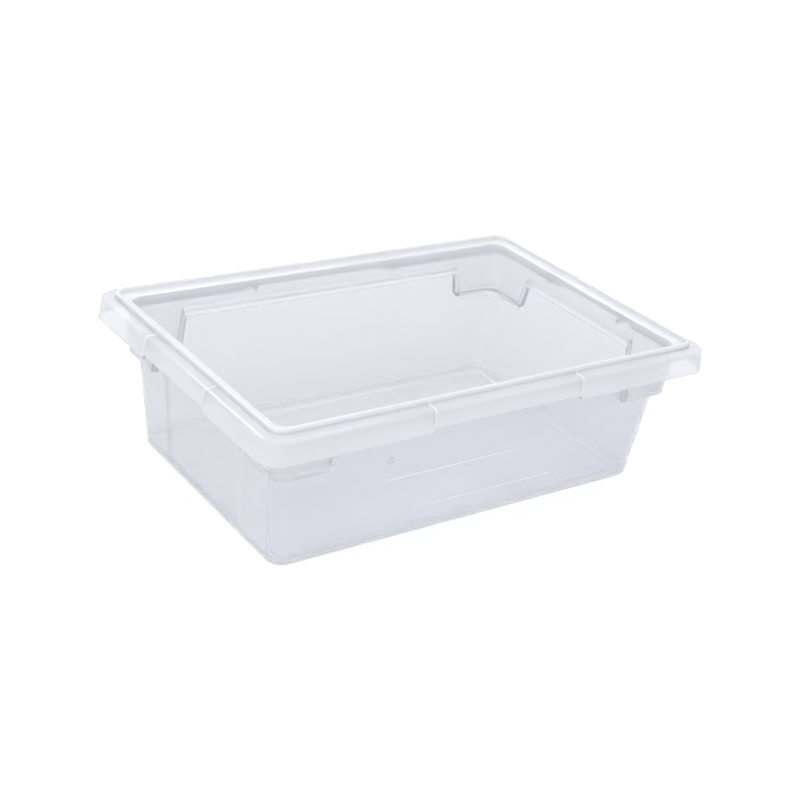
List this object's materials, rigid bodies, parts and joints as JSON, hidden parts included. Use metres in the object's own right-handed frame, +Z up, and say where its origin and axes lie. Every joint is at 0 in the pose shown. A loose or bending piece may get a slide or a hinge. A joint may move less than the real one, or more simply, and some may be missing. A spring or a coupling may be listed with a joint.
{
  "type": "deli food pan",
  "caption": "Open clear plastic food pan with drafted walls, hollow stacking lugs at the corners, a flat rim deck with a lid bead, and a skirt with finger grips.",
  "frame": {"origin": "centre of the flat base, on the surface it stands on", "axes": "+X along the length to the right, +Y across the width to the back, +Z up"},
  "size_m": [0.4572, 0.3048, 0.1415],
  "materials": {
    "clear_polycarbonate": "clear moulded polycarbonate, glossy with a faint haze, cool blue-grey tint and fine wear"
  },
  "bodies": {
    "root": {"back_bead": "clear_polycarbonate", "back_deck": "clear_polycarbonate", "back_left_bead_corner": "clear_polycarbonate", "back_left_corner": "clear_polycarbonate", "back_left_deck_corner": "clear_polycarbonate", "back_left_lug": "clear_polycarbonate", "back_left_rib": "clear_polycarbonate", "back_left_skirt_corner": "clear_polycarbonate", "back_right_bead_corner": "clear_polycarbonate", "back_right_corner": "clear_polycarbonate", "back_right_deck_corner": "clear_polycarbonate", "back_right_lug": "clear_polycarbonate", "back_right_rib": "clear_polycarbonate", "back_right_skirt_corner": "clear_polycarbonate", "back_skirt": "clear_polycarbonate", "back_wall": "clear_polycarbonate", "floor_panel": "clear_polycarbonate", "front_bead": "clear_polycarbonate", "front_deck": "clear_polycarbonate", "front_left_bead_corner": "clear_polycarbonate", "front_left_corner": "clear_polycarbonate", "front_left_deck_corner": "clear_polycarbonate", "front_left_lug": "clear_polycarbonate", "front_left_rib": "clear_polycarbonate", "front_left_skirt_corner": "clear_polycarbonate", "front_right_bead_corner": "clear_polycarbonate", "front_right_corner": "clear_polycarbonate", "front_right_deck_corner": "clear_polycarbonate", "front_right_lug": "clear_polycarbonate", "front_right_rib": "clear_polycarbonate", "front_right_skirt_corner": "clear_polycarbonate", "front_skirt": "clear_polycarbonate", "front_wall": "clear_polycarbonate", "left_back_rib": "clear_polycarbonate", "left_bead": "clear_polycarbonate", "left_deck": "clear_polycarbonate", "left_front_rib": "clear_polycarbonate", "left_skirt": "clear_polycarbonate", "left_wall": "clear_polycarbonate", "right_back_rib": "clear_polycarbonate", "right_bead": "clear_polycarbonate", "right_deck": "clear_polycarbonate", "right_front_rib": "clear_polycarbonate", "right_skirt": "clear_polycarbonate", "right_wall": "clear_polycarbonate"}
  },
  "joints": []
}
